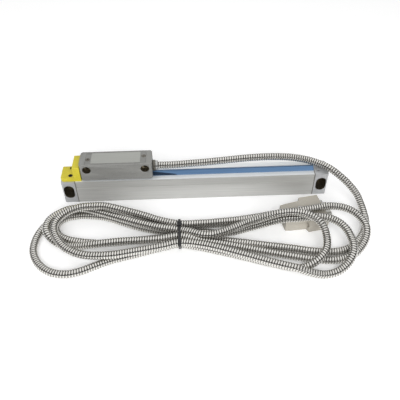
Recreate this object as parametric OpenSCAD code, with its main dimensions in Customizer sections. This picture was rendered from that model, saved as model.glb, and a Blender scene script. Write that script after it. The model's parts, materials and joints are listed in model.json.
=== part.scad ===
// Enclosed linear glass scale with its reader head, armoured cable and nine-pin connector.
// X runs along the scale, the front face looks towards -Y and Z is up.
// The origin lies on the ground under the middle of the scale.

/* [Housing] */
// Length over both end caps
scale_length = 250; // [230:5:600]
// Depth of the section, from front to back
section_depth = 20; // [19.5:0.5:24]
// Height of the section
section_height = 25; // [24.5:0.5:30]
// Wall at the front and at the back
side_wall = 1.8; // [1.4:0.1:2]
// Thickness of the housing's floor
floor_wall = 2; // [1.6:0.1:2.4]
// Thickness of the two flanges beside the slot
flange_wall = 3; // [2.8:0.1:3.2]
// Width of the slot between the flanges
slot_width = 8.4; // [8:0.1:9]
// Distance of the front ledge below the top
ledge_drop = 8; // [6:0.5:12]
// How far the face above the ledge lies back
ledge_step = 0.4; // [0.2:0.1:0.6]

/* [End caps] */
// Length of each end cap
cap_length = 12.5; // [12.5:0.5:18]
// Thickness of the rubber gasket behind each cap
gasket_thickness = 0.8; // [0.5:0.1:1.2]
// Width of the mounting recess
recess_width = 9.6; // [9:0.1:10]
// Height of the mounting recess
recess_height = 15; // [12:0.5:15.5]
// Depth of the mounting recess
recess_depth = 11; // [8:0.5:13]
// Diameter of the mounting hole behind the recess
mount_hole_d = 6.6; // [5.5:0.1:7]

/* [Glass] */
// Thickness of the graduated glass
glass_thickness = 2; // [1.8:0.1:2.2]
// Height of the graduated glass
glass_height = 12.5; // [12:0.1:12.9]

/* [Seal lips] */
// Height of the lips above the housing
lip_rise = 2.5; // [1.5:0.1:2.8]
// Thickness of a lip
lip_thickness = 1; // [0.8:0.1:1.2]

/* [Reader head] */
// Length of the head along the scale
head_length = 66; // [66:1:90]
// Depth of the head
head_depth = 19.5; // [19.5:0.5:24]
// Height of the head's casing
head_height = 17.5; // [17.5:0.5:22]
// Gap between the housing and the head
head_gap = 2; // [1.5:0.1:2.5]
// Distance from the scale's left end to the head at rest
head_park = 19.5; // [19.5:0.5:60]
// Distance between the head's two mounting holes
head_hole_spacing = 53; // [51:0.5:55]
// Diameter of the head's mounting holes
head_hole_d = 4.5; // [3.6:0.1:4.6]
// Diameter of the counterbore at each head mounting hole
head_counterbore_d = 7.8; // [7:0.1:8]
// Thickness of the coupling blade that passes the lips
blade_thickness = 0.5; // [0.4:0.1:0.6]
// Diameter of the guide rollers
roller_d = 4; // [3.6:0.1:4.2]

/* [Transport bracket] */
// Thickness of the bracket's plate
bracket_plate = 3.2; // [3.2:0.1:3.6]
// Thickness of the bracket's upright
bracket_upright = 6.4; // [6.2:0.1:6.8]
// Height of the bracket above the housing
bracket_height = 16; // [12:0.5:17]

/* [Cable] */
// Outer diameter of the armoured conduit
conduit_d = 7.2; // [6.8:0.1:7.4]
// Outer diameter of the cable gland
gland_d = 10.4; // [9.6:0.1:11]

/* [Connector] */
// Width of the connector's hood across its ears
hood_width = 31; // [31:0.5:34]
// Length of the hood
hood_length = 38; // [36:0.5:38]
// Height of the hood
hood_height = 14; // [13.6:0.1:14.2]

/* [Hidden] */
$fn = 48;

// Clearances, each used wherever two pieces of that kind meet
running_gap = 0.05;
slide_gap = 0.1;
seat_gap = 0.15;
free_gap = 0.4;

half_length = scale_length / 2;
half_depth = section_depth / 2;
half_slot = slot_width / 2;
flange_z = section_height - flange_wall;
housing_half = half_length - cap_length - gasket_thickness;
inner_half = half_depth - side_wall;

// Screw ports that run along the housing, at the top front and at the bottom rear
port_d = 2.1;
port_block = 4.6;
port_inset = 2.6;
port_places = [[-half_depth + port_inset, section_height - port_inset],
    [half_depth - port_inset, port_inset]];

// Glass seat
glass_y = 2.4;
glass_z = floor_wall;
glass_back_y = glass_y + glass_thickness;
glass_top_z = glass_z + glass_height;
glass_half = housing_half - 4;
rib_height = 3;
rib_width = 0.9;
retaining_cord_d = 0.8;

// Groove and foot of the seal lips
foot_depth = 1.3;
foot_height = 1.2;
foot_z = flange_z + 0.9;
lip_wall = 1;
lip_half_gap = blade_thickness / 2 + slide_gap;
lip_shoulder = 0.2;

// Mounting hole of the end caps
mount_x = half_length - 6;
mount_z = section_height / 2 + 0.5;
spigot_length = 2.7;
bracket_screw_d = 2.5;
bracket_screw_inset = 8.8;
bracket_screw_ys = [-3.8, 7.2];
bracket_back = 0.4;
bracket_front = 1.2;
bracket_corner = 3;
lip_room = 0.3;
bracket_screw_depth = 3.4;
bracket_screw_head_d = 3.8;
bracket_screw_head_h = 1;
cap_screw_head_d = 4;
cap_screw_head_h = 2.5;
cap_screw_d = 2.5;
cap_screw_grip = 8;

// Reader head
head_x = -half_length + head_park + head_length / 2;
head_z = section_height + head_gap;
head_top_z = head_z + head_height;
head_corner = 2.5;
channel_half = half_slot + 1.4;
channel_depth = 2.6;
channel_z = head_z + channel_depth;
pocket_length = 38;
pocket_wall = 2.2;
pocket_floor_z = channel_z + 2.9;
head_hole_z = head_top_z - 5.8;
head_counterbore_depth = 5;
cover_length = 55;
cover_margin = 1.45;
cover_thickness = 1;
cover_gasket_thickness = 0.4;
cover_ledge_z = head_top_z - cover_thickness - cover_gasket_thickness;
cover_screw_x = 25.5;
cover_screw_y = 1.5;
cover_screw_d = 2.5;
cover_screw_head_d = 4.4;
cover_screw_reach = 1.7;
nameplate_length = 45;
nameplate_margin = 0.8;
nameplate_thickness = 0.3;
board_length = 36;
board_width = 13;
board_thickness = 1.2;
board_z = pocket_floor_z + 4;
board_post_d = 4;
board_post_x = 16;
board_post_y = 4;
board_screw_d = 2;
header_length = 3;
cover_corner = 2;
header_x = 10;
header_width = 6;
header_height = 3.4;
chip_size = 7;
chip_height = 1.4;
board_screw_head_d = 3.6;

// Coupling blade and carriage, along X counted from the head's middle
blade_half = 15;
blade_nose = 3;
blade_plate_half = 12;
blade_plate_width = 9.6;
blade_plate_thickness = 1.5;
blade_plate_z = channel_z - blade_plate_thickness;
blade_screw_x = 9;
blade_screw_d = 2;
blade_screw_head_d = 3.6;
blade_screw_reach = 2;
blade_foot_z = glass_top_z + 3.5;
bridge_half = 12;
bridge_z = glass_top_z + 1.6;
bridge_top_z = blade_foot_z + 1;
plate_half = 26;
plate_front_y = -5.4;
plate_thickness = 2;
plate_back_y = plate_front_y + plate_thickness;
plate_z = 6.6;
rear_leg_half = 6;
rear_leg_y = glass_back_y + 1.2;
rear_leg_thickness = 2;
roller_r = roller_d / 2;
roller_width = 2.2;
pin_d = 1.4;
lug_half = 1.8;
lug_thickness = 0.8;
face_roller_x = 22;
edge_roller_x = 17;
face_roller_y = glass_y - roller_r - running_gap;
lower_roller_z = plate_z + lug_thickness + slide_gap + roller_width / 2;
upper_roller_z = lower_roller_z + 4.6;
edge_roller_y = glass_y + glass_thickness / 2;
edge_roller_z = glass_top_z + roller_r + running_gap;
sensor_z = 8.8;
sensor_size = 3.6;
board_back = 1;
reticle_thickness = 1;
reticle_gap = 0.6;
reticle_y = glass_y - reticle_gap - reticle_thickness;
lamp_d = 3;
blade_screw_y = 2.8;
flat_lead_x = 3.6;
flat_lead_width = 3;
flat_lead_thickness = 0.3;
sensor_half = 5;
sensor_board_half = 11;
sensor_board_height = 4.3;

// Gland, conduit and its route
gland_z = pocket_floor_z + 1.8;
gland_body_length = 2.5;
gland_nut_length = 2.5;
gland_thread_d = 6;
gland_thread_length = 2.5;
lead_d = 3.6;
head_right_x = head_x + head_length / 2;
cable_start_x = head_right_x + gland_body_length + gland_nut_length;
cable_sides = 10;
// Points of the stretch between the gland and the hank
run_points = [[cable_start_x + slide_gap, 0, gland_z], [-20, 0, gland_z], [-6, 0.5, 34.8], [12, 1, 35.6], [32, 2, 36.6],
    [52, 3, 37.4], [72, 4, 37], [90, 5, 34.8], [106, 4.5, 31.4], [117, 0.5, 29.6],
    [126, -6.5, 29], [134, -13, 25.6], [142, -19.5, 20.4], [149, -26.5, 13.6],
    [154, -34.5, 7.6], [156, -44, 4.2], [155.6, -50, 3.6], [154.4, -55, 3.6]];

// Hank: outlines of its two loops and its waist at the tie
hank_height = 2 * conduit_d;
tie_x = -16;
tie_band = 0.7;
tie_width = 2.4;
tie_lock = 4;
waist_front = -79.3;
waist_back = -46.2;
// Connector, in its own frame: mating face at 0, cable towards -X
hood_place = [114.5, -41, 0];
hood_turn = 10;
hood_wall = 1.5;
ear_length = 18;
waist_half = 11.6;
tail_half = 9.4;
jack_spacing = 25;
jack_d = 2.8;
jack_head_d = 4.6;
jack_head_length = 3;
jack_seat = 9;
jack_reach = 5;
shell_width = 16.9;
shell_height = 8.4;
shell_slant = 1.5;
shell_reach = 6;
shell_wall = 0.5;
flange_sheet = 1;
flange_height = 12.4;
flange_inset = 1.5;
pin_pitch = 2.77;
pin_rows = 2.84;
pin_r = 0.5;
ferrule_d = 9.5;
ferrule_out = 3;
ferrule_in = 3;
hood_mid_z = hood_height / 2;
hood_screw_d = 2.5;
hood_screw_head_d = 4.6;
hood_screw_head_h = 2;
hood_post_d = 5;
hood_screw_x = -21;
hood_screw_y = 2.8;
hood_screw_end = 2;
insulator_back = 5;
insulator_front = 1;
wire_bundle_d = 1.8;

cast_grey = [0.66, 0.68, 0.69];
anodised = [0.72, 0.73, 0.71];
head_grey = [0.6, 0.6, 0.59];
steel = [0.62, 0.62, 0.6];
rubber_black = [0.1, 0.1, 0.1];
lip_blue = [0.29, 0.47, 0.72];
bracket_yellow = [0.86, 0.78, 0.16];
hood_beige = [0.68, 0.66, 0.62];
board_green = [0.1, 0.4, 0.25];

// A 2-D section in Y and Z, drawn out along X from x by length
module along_x(x, length) {
    translate([x, 0, 0]) rotate([90, 0, 90]) linear_extrude(length) children();
}

// A round bar along X
module bar_x(x, length, y, z, d) {
    translate([x, y, z]) rotate([0, 90, 0]) cylinder(h = length, d = d);
}

// A round bar along Y
module bar_y(y, length, x, z, d) {
    translate([x, y, z]) rotate([-90, 0, 0]) cylinder(h = length, d = d);
}

// A rectangle with round corners, centred
module rounded_plate(length, width, r) {
    square([length - 2 * r, width], center = true);
    square([length, width - 2 * r], center = true);
    for (x = [-1, 1], y = [-1, 1])
        translate([x * (length / 2 - r), y * (width / 2 - r)]) circle(r = r);
}

// Countersunk screw that points down from z
module countersunk(d, head_d, length) {
    head_h = (head_d - d) / 2;
    difference() {
        union() {
            translate([0, 0, -head_h]) cylinder(h = head_h, d1 = d, d2 = head_d);
            translate([0, 0, -length]) cylinder(h = length - head_h, d = d);
        }
        translate([0, 0, -head_h]) cylinder(h = head_h + 1, d = d * 0.55, $fn = 6);
    }
}

module countersunk_hole(d, head_d, depth) {
    head_h = (head_d - d) / 2;
    translate([0, 0, -head_h]) cylinder(h = head_h, d1 = d, d2 = head_d);
    translate([0, 0, -depth]) cylinder(h = depth, d = d);
}

// ---- Housing ----

module lip_groove() {
    translate([half_slot, foot_z]) square([foot_depth, foot_height]);
}

module housing_section() {
    difference() {
        translate([-half_depth, 0]) square([section_depth, section_height]);
        translate([-half_depth, section_height - ledge_drop]) square([ledge_step, ledge_drop]);
        difference() {
            translate([-inner_half, floor_wall]) square([2 * inner_half, flange_z - floor_wall]);
            translate([-half_depth, section_height - port_block - 0.5])
                square([port_block, port_block + 0.5]);
            translate([half_depth - port_block, 0]) square([port_block, port_block]);
        }
        translate([-half_slot, flange_z]) square([slot_width, flange_wall]);
        lip_groove();
        mirror([1, 0]) lip_groove();
    }
    glass_seat();
}

// Two ribs that stand on the floor and hold the glass's lower edge
module glass_seat() {
    translate([glass_y - retaining_cord_d - rib_width, floor_wall]) square([rib_width, rib_height]);
    translate([glass_back_y, floor_wall]) square([rib_width, rib_height]);
}

module housing() {
    color(anodised) difference() {
        along_x(-housing_half, 2 * housing_half) housing_section();
        for (p = port_places) bar_x(-housing_half, 2 * housing_half, p[0], p[1], port_d);
    }
}

module glass_scale() {
    color([0.7, 0.85, 0.85, 0.5])
        translate([-glass_half, glass_y, glass_z]) cube([2 * glass_half, glass_thickness, glass_height]);
}

module glass_retaining_cord() {
    color(rubber_black) bar_x(-glass_half, 2 * glass_half,
        glass_y - retaining_cord_d / 2, floor_wall + rib_height / 2, retaining_cord_d);
}

// One lip: its foot sits in the flange's groove and its roof leans to the middle
module lip_section() {
    ridge_z = section_height + lip_rise;
    polygon([[half_slot + foot_depth, foot_z], [half_slot + foot_depth, foot_z + foot_height],
        [half_slot, foot_z + foot_height], [half_slot, section_height + lip_shoulder],
        [lip_half_gap, ridge_z], [lip_half_gap, ridge_z - lip_thickness],
        [half_slot - lip_wall, section_height - lip_thickness + lip_shoulder],
        [half_slot - lip_wall, foot_z]]);
}

module front_seal_lip() {
    color(lip_blue) along_x(-housing_half, 2 * housing_half) mirror([1, 0]) lip_section();
}

module rear_seal_lip() {
    color(lip_blue) along_x(-housing_half, 2 * housing_half) lip_section();
}

// ---- End caps, drawn at the left end and mirrored for the right ----

module recess(y0, depth, width) {
    translate([-mount_x, y0, mount_z]) rotate([-90, 0, 0]) linear_extrude(depth) {
        square([width, recess_height - width], center = true);
        for (s = [-1, 1]) translate([0, s * (recess_height - width) / 2]) circle(d = width);
    }
}

// Free space of the housing's inside, less a seat clearance
module spigot_section() {
    difference() {
        translate([-inner_half + seat_gap, floor_wall + seat_gap])
            square([2 * (inner_half - seat_gap), flange_z - floor_wall - 2 * seat_gap]);
        translate([-half_depth, section_height - port_block - 0.5 - seat_gap])
            square([port_block + seat_gap, port_block + 1]);
        translate([half_depth - port_block - seat_gap, 0])
            square([port_block + seat_gap, port_block + seat_gap]);
        translate([glass_y - retaining_cord_d - rib_width - seat_gap, 0])
            square([retaining_cord_d + glass_thickness + 2 * rib_width + 2 * seat_gap,
                floor_wall + rib_height + seat_gap]);
    }
}

module end_cap() {
    r = 1.2;
    color(cast_grey) difference() {
        union() {
            translate([-half_length + r, -half_depth, 0])
                cube([cap_length - r, section_depth, section_height]);
            translate([-half_length, -half_depth + r, 0])
                cube([cap_length, section_depth - 2 * r, section_height]);
            for (s = [-1, 1]) translate([-half_length + r, s * (half_depth - r), 0])
                cylinder(h = section_height, r = r);
            along_x(-half_length + cap_length, gasket_thickness + spigot_length) spigot_section();
        }
        recess(-half_depth - 1, recess_depth + 1, recess_width);
        bar_y(-half_depth, section_depth + 1, -mount_x, mount_z, mount_hole_d);
        for (p = port_places) {
            bar_x(-half_length, cap_length, p[0], p[1], cap_screw_d + 2 * seat_gap);
            bar_x(-half_length, cap_screw_head_h, p[0], p[1], cap_screw_head_d + 2 * seat_gap);
        }
        for (y = bracket_screw_ys)
            translate([-half_length + bracket_screw_inset, y, section_height - bracket_screw_depth])
                cylinder(h = bracket_screw_depth + 1, d = bracket_screw_d);
    }
}

module cap_gasket() {
    color(rubber_black) difference() {
        translate([-half_length + cap_length, -half_depth, 0])
            cube([gasket_thickness, section_depth, section_height]);
        along_x(-half_length + cap_length - 1, gasket_thickness + 2) spigot_passage();
        for (p = port_places)
            bar_x(-half_length + cap_length - 1, gasket_thickness + 2, p[0], p[1], cap_screw_d);
    }
}

// The spigot's passage through the gasket
module spigot_passage() {
    translate([-inner_half, floor_wall])
        square([2 * inner_half, section_height - port_block - 0.5 - floor_wall]);
    translate([-half_depth + port_block, floor_wall])
        square([inner_half + half_depth - port_block, flange_z - floor_wall]);
}

module cap_screws() {
    color(steel) for (p = port_places) difference() {
        union() {
            bar_x(-half_length, cap_screw_head_h, p[0], p[1], cap_screw_head_d);
            bar_x(-half_length + cap_screw_head_h,
                cap_length + gasket_thickness - cap_screw_head_h, p[0], p[1], cap_screw_d);
            bar_x(-half_length + cap_length + gasket_thickness, cap_screw_grip, p[0], p[1], port_d);
        }
        translate([-half_length - 1, p[0], p[1]]) rotate([0, 90, 0])
            cylinder(h = cap_screw_head_h, d = cap_screw_head_d / 2, $fn = 6);
    }
}

module left_end_cap() { end_cap(); }
module right_end_cap() { mirror([1, 0, 0]) end_cap(); }
module left_cap_gasket() { cap_gasket(); }
module right_cap_gasket() { mirror([1, 0, 0]) cap_gasket(); }
module left_cap_screws() { cap_screws(); }
module right_cap_screws() { mirror([1, 0, 0]) cap_screws(); }

// ---- Transport bracket ----

module transport_bracket() {
    right_x = -half_length + head_park - free_gap;
    width = section_depth - bracket_back - bracket_front;
    color(bracket_yellow) difference() {
        translate([0, -half_depth + bracket_front, section_height]) {
            translate([-half_length + bracket_corner, 0, 0])
                cube([right_x + half_length - bracket_corner, width, bracket_plate]);
            translate([-half_length, bracket_corner, 0])
                cube([2 * bracket_corner, width - bracket_corner, bracket_plate]);
            translate([-half_length + bracket_corner, bracket_corner, 0])
                cylinder(h = bracket_plate, r = bracket_corner);
            translate([right_x - bracket_upright, 0, 0]) cube([bracket_upright, width, bracket_height]);
        }
        translate([-housing_half - lip_room, -half_slot - lip_room, section_height - 1])
            cube([head_park, slot_width + 2 * lip_room, lip_rise + lip_room + 1]);
        for (y = bracket_screw_ys) translate([-half_length + bracket_screw_inset, y, 0]) {
            cylinder(h = section_height + bracket_plate + 1, d = bracket_screw_d + 2 * slide_gap);
            translate([0, 0, section_height + bracket_plate - bracket_screw_head_h])
                cylinder(h = bracket_screw_head_h + 1, d = bracket_screw_head_d + 2 * slide_gap);
        }
    }
}

module bracket_screws() {
    color(steel) for (y = bracket_screw_ys)
        translate([-half_length + bracket_screw_inset, y, section_height + bracket_plate])
            socket_screw(bracket_screw_d, bracket_screw_head_d, bracket_screw_head_h,
                bracket_plate + bracket_screw_depth - slide_gap);
}

// Screw that points down, with its head's top at z = 0
module socket_screw(d, head_d, head_h, length) {
    difference() {
        union() {
            translate([0, 0, -head_h]) cylinder(h = head_h, d = head_d);
            translate([0, 0, -length]) cylinder(h = length - head_h, d = d);
        }
        translate([0, 0, -head_h * 0.8]) cylinder(h = head_h, d = head_d * 0.5, $fn = 6);
    }
}

// ---- Reader head, drawn about its own middle ----

module at_head(z) {
    translate([head_x, 0, z]) children();
}

module cover_screw_places() {
    for (s = [-1, 1]) translate([s * cover_screw_x, s * cover_screw_y, 0]) children();
}

module blade_screw_places() {
    for (s = [-1, 1]) translate([s * blade_screw_x, -s * blade_screw_y, 0]) children();
}

module board_posts() {
    for (s = [-1, 1]) translate([s * board_post_x, board_post_y, 0]) children();
}

module lead_window() {
    translate([flat_lead_x - slide_gap, -flat_lead_thickness / 2 - slide_gap, 0])
        cube([flat_lead_width + 2 * slide_gap, flat_lead_thickness + 2 * slide_gap, section_height * 2]);
}

module head_block() {
    pocket_depth = head_depth - 2 * pocket_wall;
    color(head_grey) {
        difference() {
            at_head(head_z) linear_extrude(head_height)
                rounded_plate(head_length, head_depth, head_corner);
            at_head(head_z - 1) translate([-head_length, -channel_half, 0])
                cube([2 * head_length, 2 * channel_half, channel_depth + 1]);
            at_head(pocket_floor_z) translate([-pocket_length / 2, -pocket_depth / 2, 0])
                cube([pocket_length, pocket_depth, head_height]);
            at_head(cover_ledge_z) linear_extrude(head_height)
                rounded_plate(cover_length + 2 * seat_gap,
                    head_depth - 2 * cover_margin + 2 * seat_gap, cover_corner);
            for (s = [-1, 1]) {
                bar_y(-head_depth / 2 - 1, head_depth + 2, head_x + s * head_hole_spacing / 2,
                    head_hole_z, head_hole_d);
                bar_y(-head_depth / 2 - 1, head_counterbore_depth + 1,
                    head_x + s * head_hole_spacing / 2, head_hole_z, head_counterbore_d);
            }
            at_head(cover_ledge_z - cover_screw_reach) cover_screw_places()
                cylinder(h = head_height, d = cover_screw_d);
            at_head(channel_z - 1) blade_screw_places()
                cylinder(h = blade_screw_reach + 1, d = blade_screw_d);
            at_head(0) lead_window();
            bar_x(head_x + pocket_length / 2 - 1, head_length, 0, gland_z, lead_d + 2 * slide_gap);
            bar_x(head_right_x - gland_thread_length, head_length, 0, gland_z, gland_thread_d);
        }
        at_head(pocket_floor_z) board_posts() difference() {
            cylinder(h = board_z - pocket_floor_z, d = board_post_d);
            translate([0, 0, 1]) cylinder(h = board_z, d = board_screw_d);
        }
    }
}

module cover_gasket() {
    color(rubber_black) at_head(cover_ledge_z) difference() {
        linear_extrude(cover_gasket_thickness)
            rounded_plate(cover_length, head_depth - 2 * cover_margin, cover_corner);
        translate([0, 0, -1]) linear_extrude(cover_gasket_thickness + 2)
            square([pocket_length, head_depth - 2 * pocket_wall], center = true);
        translate([0, 0, -1]) cover_screw_places() cylinder(h = 3, d = cover_screw_d + 2 * seat_gap);
    }
}

module head_cover() {
    color([0.68, 0.68, 0.66]) difference() {
        at_head(head_top_z - cover_thickness) linear_extrude(cover_thickness)
            rounded_plate(cover_length, head_depth - 2 * cover_margin, cover_corner);
        at_head(head_top_z) cover_screw_places()
            countersunk_hole(cover_screw_d + 2 * slide_gap, cover_screw_head_d + 2 * slide_gap,
                2 * cover_thickness);
    }
}

module cover_screws() {
    color(steel) at_head(head_top_z) cover_screw_places()
        countersunk(cover_screw_d, cover_screw_head_d,
            cover_thickness + cover_gasket_thickness + cover_screw_reach);
}

module nameplate() {
    color([0.72, 0.72, 0.7]) at_head(head_top_z) linear_extrude(nameplate_thickness)
        rounded_plate(nameplate_length, head_depth - 2 * (cover_margin + nameplate_margin), 1);
}

module head_circuit_board() {
    color(board_green) at_head(board_z) {
        difference() {
            translate([-board_length / 2, -board_width / 2, 0])
                cube([board_length, board_width, board_thickness]);
            translate([0, 0, -1]) board_posts() cylinder(h = 4, d = board_screw_d + 2 * slide_gap);
        }
        translate([header_x, -header_width / 2, -header_height])
            cube([header_length, header_width, header_height]);
        for (x = [-9, 1]) translate([x, -chip_size / 2 - 1, board_thickness])
            cube([chip_size, chip_size, chip_height]);
    }
}

module board_screws() {
    head_h = 1.2;
    color(steel) at_head(board_z + board_thickness + head_h) board_posts()
        socket_screw(board_screw_d, board_screw_head_d, head_h, head_h + board_thickness + 2);
}

// ---- Coupling blade and carriage ----

// Boat-shaped plan, so the lips close gently behind it
module blade_plan() {
    t = blade_thickness / 2;
    polygon([[-blade_half, 0], [-blade_half + blade_nose, -t], [blade_half - blade_nose, -t],
        [blade_half, 0], [blade_half - blade_nose, t], [-blade_half + blade_nose, t]]);
}

module coupling_blade() {
    color(steel) difference() {
        union() {
            at_head(blade_foot_z) linear_extrude(channel_z - blade_foot_z) blade_plan();
            at_head(blade_plate_z) linear_extrude(blade_plate_thickness)
                square([2 * blade_plate_half, blade_plate_width], center = true);
        }
        at_head(0) lead_window();
        at_head(blade_plate_z) blade_screw_places() mirror([0, 0, 1])
            countersunk_hole(blade_screw_d + 2 * slide_gap, blade_screw_head_d + 2 * slide_gap, 3);
    }
}

module blade_screws() {
    color(steel) at_head(blade_plate_z) blade_screw_places() mirror([0, 0, 1])
        countersunk(blade_screw_d, blade_screw_head_d, blade_plate_thickness + blade_screw_reach);
}

// Two lugs above and below a face roller
module roller_lugs(x, z) {
    reach = face_roller_y + pin_d / 2 + 0.4 - plate_back_y;
    for (s = [-1, 1])
        translate([x - lug_half, plate_back_y,
            z + s * (roller_width / 2 + slide_gap) - (s < 0 ? lug_thickness : 0)])
            cube([2 * lug_half, reach, lug_thickness]);
}

module face_pin(x, z) {
    length = roller_width + 2 * (slide_gap + lug_thickness);
    translate([x, face_roller_y, z - length / 2]) cylinder(h = length, d = pin_d);
}

module roller_pins_solid() {
    for (s = [-1, 1]) {
        face_pin(s * face_roller_x, lower_roller_z);
        bar_y(plate_front_y, edge_roller_y + roller_width / 2 + 0.4 - plate_front_y,
            s * edge_roller_x, edge_roller_z, pin_d);
    }
    face_pin(0, upper_roller_z);
}

module carriage_frame() {
    color([0.35, 0.36, 0.38]) at_head(0) difference() {
        union() {
            translate([-plate_half, plate_front_y, plate_z])
                cube([2 * plate_half, plate_thickness, bridge_top_z - plate_z]);
            translate([-bridge_half, plate_back_y, bridge_z])
                cube([2 * bridge_half, rear_leg_y + rear_leg_thickness - plate_back_y,
                    bridge_top_z - bridge_z]);
            translate([-rear_leg_half, rear_leg_y, plate_z])
                cube([2 * rear_leg_half, rear_leg_thickness, bridge_z - plate_z]);
            for (s = [-1, 1]) roller_lugs(s * face_roller_x, lower_roller_z);
            roller_lugs(0, upper_roller_z);
        }
        translate([-blade_half, -blade_thickness / 2 - running_gap, blade_foot_z])
            cube([2 * blade_half, blade_thickness + 2 * running_gap, section_height]);
        lead_window();
        bar_y(0, section_depth, 0, sensor_z, lamp_d + 2 * running_gap);
        roller_pins_solid();
    }
}

// Wire clip that stands on the carriage and presses on the blade
module coupling_spring() {
    wire = 0.6;
    y = -blade_thickness / 2 - wire / 2;
    clip_x = -10.5;
    clip_length = 9.5;
    color(steel) at_head(0) {
        bar_x(clip_x, clip_length, y, bridge_top_z + 0.8, wire);
        for (x = [clip_x, clip_x + clip_length])
            translate([x, y, bridge_top_z]) cylinder(h = 0.8, d = wire);
    }
}

module index_reticle() {
    color([0.75, 0.88, 0.88, 0.6]) at_head(0)
        translate([-sensor_half, reticle_y, sensor_z - sensor_size / 2])
            cube([2 * sensor_half, reticle_thickness, sensor_size]);
}

module sensor_board() {
    color(board_green) at_head(0) {
        translate([-sensor_board_half, plate_back_y, plate_z])
            cube([2 * sensor_board_half, board_back, sensor_board_height]);
        translate([-sensor_half, plate_back_y + board_back, sensor_z - sensor_size / 2])
            cube([2 * sensor_half, reticle_y - plate_back_y - board_back, sensor_size]);
    }
}

module lamp() {
    color([0.9, 0.85, 0.8]) at_head(0)
        bar_y(glass_back_y + 0.5, rear_leg_y + rear_leg_thickness - glass_back_y - 0.5, 0, sensor_z, lamp_d);
}

// Flat strip from the lamp's back over the bridge to the flat lead
module lamp_lead() {
    back_y = rear_leg_y + rear_leg_thickness;
    front_y = blade_thickness / 2 + slide_gap;
    strip = 0.2;
    color([0.75, 0.45, 0.15]) at_head(0) {
        translate([-lamp_d / 2, back_y, sensor_z - lamp_d / 2])
            cube([lamp_d, strip, bridge_top_z - sensor_z + lamp_d / 2]);
        translate([-lamp_d / 2, front_y, bridge_top_z]) cube([lamp_d, back_y + strip - front_y, strip]);
        translate([lamp_d / 2, front_y, bridge_top_z])
            cube([flat_lead_x + flat_lead_width / 2 - lamp_d / 2, flat_lead_width / 2, strip]);
        translate([flat_lead_x, flat_lead_thickness / 2, bridge_top_z])
            cube([flat_lead_width / 2, front_y, strip]);
    }
}

// Flat lead from the sensor board through the blade's window up to the head's board
module flat_lead() {
    foot_top = plate_z + sensor_board_height;
    color([0.75, 0.45, 0.15]) at_head(0) {
        translate([flat_lead_x, -flat_lead_thickness / 2, foot_top])
            cube([flat_lead_width, flat_lead_thickness, board_z - foot_top]);
        translate([flat_lead_x, plate_back_y, foot_top])
            cube([flat_lead_width, -plate_back_y, flat_lead_thickness]);
    }
}

module roller_pins() {
    color(steel) at_head(0) roller_pins_solid();
}

module face_roller(x, z) {
    color(steel) at_head(z - roller_width / 2) translate([x, face_roller_y, 0]) difference() {
        cylinder(h = roller_width, d = roller_d);
        translate([0, 0, -1]) cylinder(h = roller_width + 2, d = pin_d + 2 * running_gap);
    }
}

module edge_roller(x) {
    color(steel) difference() {
        bar_y(edge_roller_y - roller_width / 2, roller_width, head_x + x, edge_roller_z, roller_d);
        bar_y(edge_roller_y - roller_width, 2 * roller_width, head_x + x, edge_roller_z,
            pin_d + 2 * running_gap);
    }
}

module left_face_roller() { face_roller(-face_roller_x, lower_roller_z); }
module right_face_roller() { face_roller(face_roller_x, lower_roller_z); }
module upper_face_roller() { face_roller(0, upper_roller_z); }
module left_edge_roller() { edge_roller(-edge_roller_x); }
module right_edge_roller() { edge_roller(edge_roller_x); }

// ---- Gland and cable ----

module gland_body() {
    color(steel) difference() {
        union() {
            bar_x(head_right_x, gland_body_length, 0, gland_z, gland_d);
            bar_x(head_right_x - gland_thread_length, gland_thread_length, 0, gland_z, gland_thread_d);
        }
        bar_x(head_right_x - gland_body_length, 3 * gland_body_length, 0, gland_z, lead_d + 2 * slide_gap);
    }
}

module gland_nut() {
    color(steel) difference() {
        bar_x(head_right_x + gland_body_length, gland_nut_length, 0, gland_z, gland_d - 1.2);
        bar_x(head_right_x, 3 * gland_nut_length, 0, gland_z, lead_d + 2 * slide_gap);
    }
}

module signal_lead() {
    start_x = head_x + header_x + header_length;
    color([0.2, 0.2, 0.2]) bar_x(start_x, cable_start_x - start_x, 0, gland_z, lead_d);
}

// Smooth curve through points, with two steps to each stretch
function spline_point(p, i, t) =
    let (n = len(p) - 1, a = p[max(i - 1, 0)], b = p[i], c = p[min(i + 1, n)], d = p[min(i + 2, n)])
    0.5 * (2 * b + (c - a) * t + (2 * a - 5 * b + 4 * c - d) * t * t
        + (3 * b - a - 3 * c + d) * t * t * t);

function spline(p) =
    [for (i = [0 : len(p) - 2], t = [0, 0.5]) spline_point(p, i, t), p[len(p) - 1]];

function unit(v) = v / norm(v);

// Ring of points around place p, square to direction d
function ring(p, d, r, sides) =
    let (side = unit(cross(d, [0, 0, 1])), up = cross(side, d))
    [for (k = [0 : sides - 1]) p + r * (cos(360 * k / sides) * side + sin(360 * k / sides) * up)];

module tube(path, r, sides) {
    n = len(path);
    points = [for (i = [0 : n - 1])
        each ring(path[i], unit(path[min(i + 1, n - 1)] - path[max(i - 1, 0)]), r, sides)];
    faces = [
        [for (k = [0 : sides - 1]) k],
        [for (k = [sides - 1 : -1 : 0]) (n - 1) * sides + k],
        for (i = [0 : n - 2], k = [0 : sides - 1])
            each [[i * sides + k, (i + 1) * sides + k, i * sides + (k + 1) % sides],
                [i * sides + (k + 1) % sides, (i + 1) * sides + k, (i + 1) * sides + (k + 1) % sides]]
    ];
    polyhedron(points, faces, convexity = 10);
}

module cable_run() {
    color(steel) tube(spline(run_points), conduit_d / 2, cable_sides);
}

module disc(x, y, r) {
    translate([x, y]) circle(r = r, $fn = 64);
}

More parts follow.
